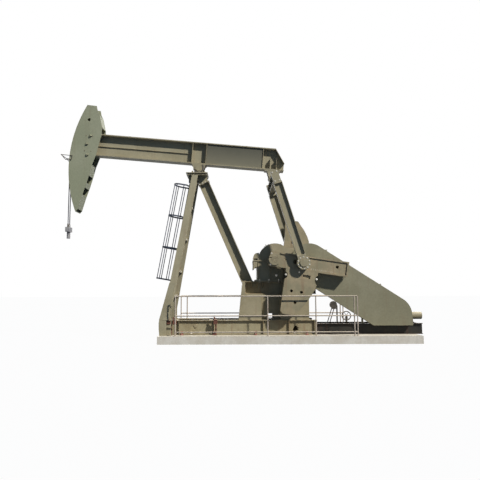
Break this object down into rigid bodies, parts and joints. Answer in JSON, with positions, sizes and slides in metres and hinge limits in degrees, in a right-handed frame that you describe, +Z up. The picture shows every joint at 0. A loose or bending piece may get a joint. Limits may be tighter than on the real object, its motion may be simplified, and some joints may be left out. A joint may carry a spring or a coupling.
{
  "type": "beam pumping unit",
  "caption": "Crank-balanced beam pumping unit with horse head, walking beam, pitmans, cranks, gear reducer and belt guard on a steel base and plinth.",
  "frame": {"origin": "underside of the plinth, straight below the centre bearing, in the middle plane", "axes": "+X level, from the horse head to the motor; +Y across, away from the belt guard's side; +Z up"},
  "size_m": [14.605, 2.96, 9.7311],
  "materials": {
    "olive": "weathered satin paint",
    "head_olive": "weathered satin paint",
    "rail_paint": "satin paint",
    "cage_paint": "satin paint",
    "concrete": "rough concrete",
    "clamp_paint": "rusty",
    "dark_steel": "dark, oiled",
    "rope_steel": "wire",
    "rubber": "matt",
    "steel_shaft": "turned"
  },
  "bodies": {
    "base": {"plinth": "concrete", "base_rails": "olive", "base_crosses": "olive", "motor_skid": "olive", "hold_downs": "clamp_paint", "post_leg_near": "olive", "post_leg_far": "olive", "post_leg_rear": "olive", "post_braces": "olive", "post_cap": "olive", "centre_bearing": "olive", "ladder": "cage_paint", "cage_hoops": "cage_paint", "cage_bars": "cage_paint", "pedestal": "olive", "sub_base": "olive", "gear_case": "olive", "bearing_caps": "olive", "belt_guard": "olive", "drive_sheave": "dark_steel", "motor_sheave": "dark_steel", "vee_belts": "rubber", "motor": "olive", "motor_rails": "olive", "brake": "dark_steel", "brake_stand": "dark_steel", "railing_near": "rail_paint", "railing_far": "rail_paint"},
    "cranks": {"crank_shaft": "steel_shaft", "crank_near": "olive", "crank_far": "olive", "weight_near_low": "olive", "weight_far_low": "olive", "weight_far_high": "olive"},
    "beam": {"walking_beam": "olive", "beam_boxes": "olive", "saddle": "olive", "head_plates": "head_olive", "head_face": "head_olive", "head_frame": "head_olive", "rope_hoop": "dark_steel", "wrapped_ropes": "rope_steel", "tail_bearing": "olive"},
    "pitmans": {"equalizer": "olive", "pitman_near": "olive", "pitman_far": "olive", "wrist_near": "olive", "wrist_far": "olive"},
    "carrier": {"hanging_ropes": "rope_steel", "carrier_bar": "rope_steel"}
  },
  "joints": [
    {"name": "crank_turn", "type": "hinge", "parent": "base", "child": "cranks", "pos_m": [3.048, 0, 3.225], "axis": [0, 1, 0], "continuous": true},
    {"name": "beam_rock", "type": "hinge", "parent": "base", "child": "beam", "pos_m": [0, 0, 7.06], "axis": [0, 1, 0], "range_deg": [-27.2, 15.2]},
    {"name": "pitman_swing", "type": "hinge", "parent": "beam", "child": "pitmans", "pos_m": [3.02177, 0, 6.64826], "axis": [0, 1, 0], "range_deg": [-15.2, 27.2]},
    {"name": "carrier_lift", "type": "slide", "parent": "base", "child": "carrier", "axis": [0, 0, 1], "range_m": [-2.5327, 1.4156], "deforming": ["hanging_ropes"]}
  ],
  "couplings": [
    {"joint": "pitman_swing", "follows": "beam_rock", "ratio": -1},
    {"joint": "carrier_lift", "follows": "beam_rock", "m_per_rad": 5.334}
  ]
}
